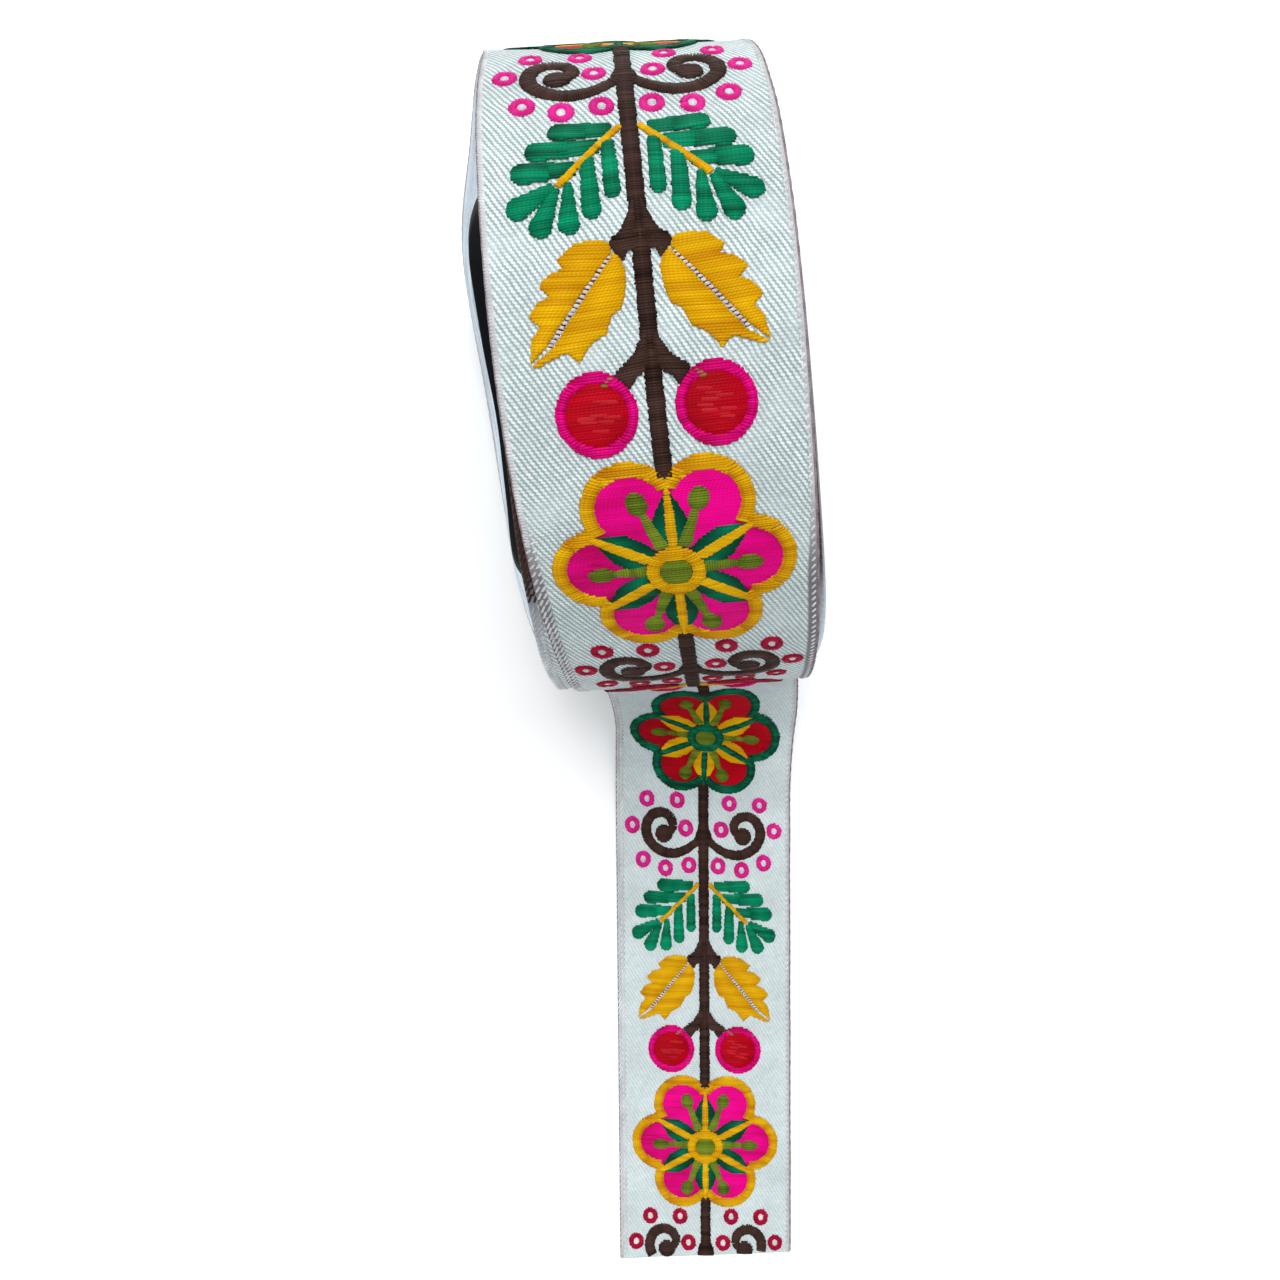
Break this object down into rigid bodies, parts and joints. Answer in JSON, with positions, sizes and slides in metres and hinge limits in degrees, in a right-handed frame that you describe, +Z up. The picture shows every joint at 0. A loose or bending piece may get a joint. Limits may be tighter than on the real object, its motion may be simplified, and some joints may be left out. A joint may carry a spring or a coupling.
{
  "type": "embroidered ribbon roll",
  "caption": "Roll of floral embroidered ribbon on a dark core tube, standing on its rim, with its loose end laid out in front.",
  "frame": {"origin": "middle of the small flat spot on the roll's rim, on the surface that it stands on", "axes": "+Z up, +X along the roll's axis to the right, -Y the way the loose end runs"},
  "size_m": [0.0825, 0.3078, 0.1299],
  "materials": {
    "ribbon_cloth": "white satin twill ribbon with raised embroidery in brown, green, gold, red and magenta thread",
    "core_board": "matt black core tube"
  },
  "bodies": {
    "root": {"ribbon_roll": "ribbon_cloth", "ribbon_loose_end": "ribbon_cloth", "core_tube": "core_board"}
  },
  "joints": []
}
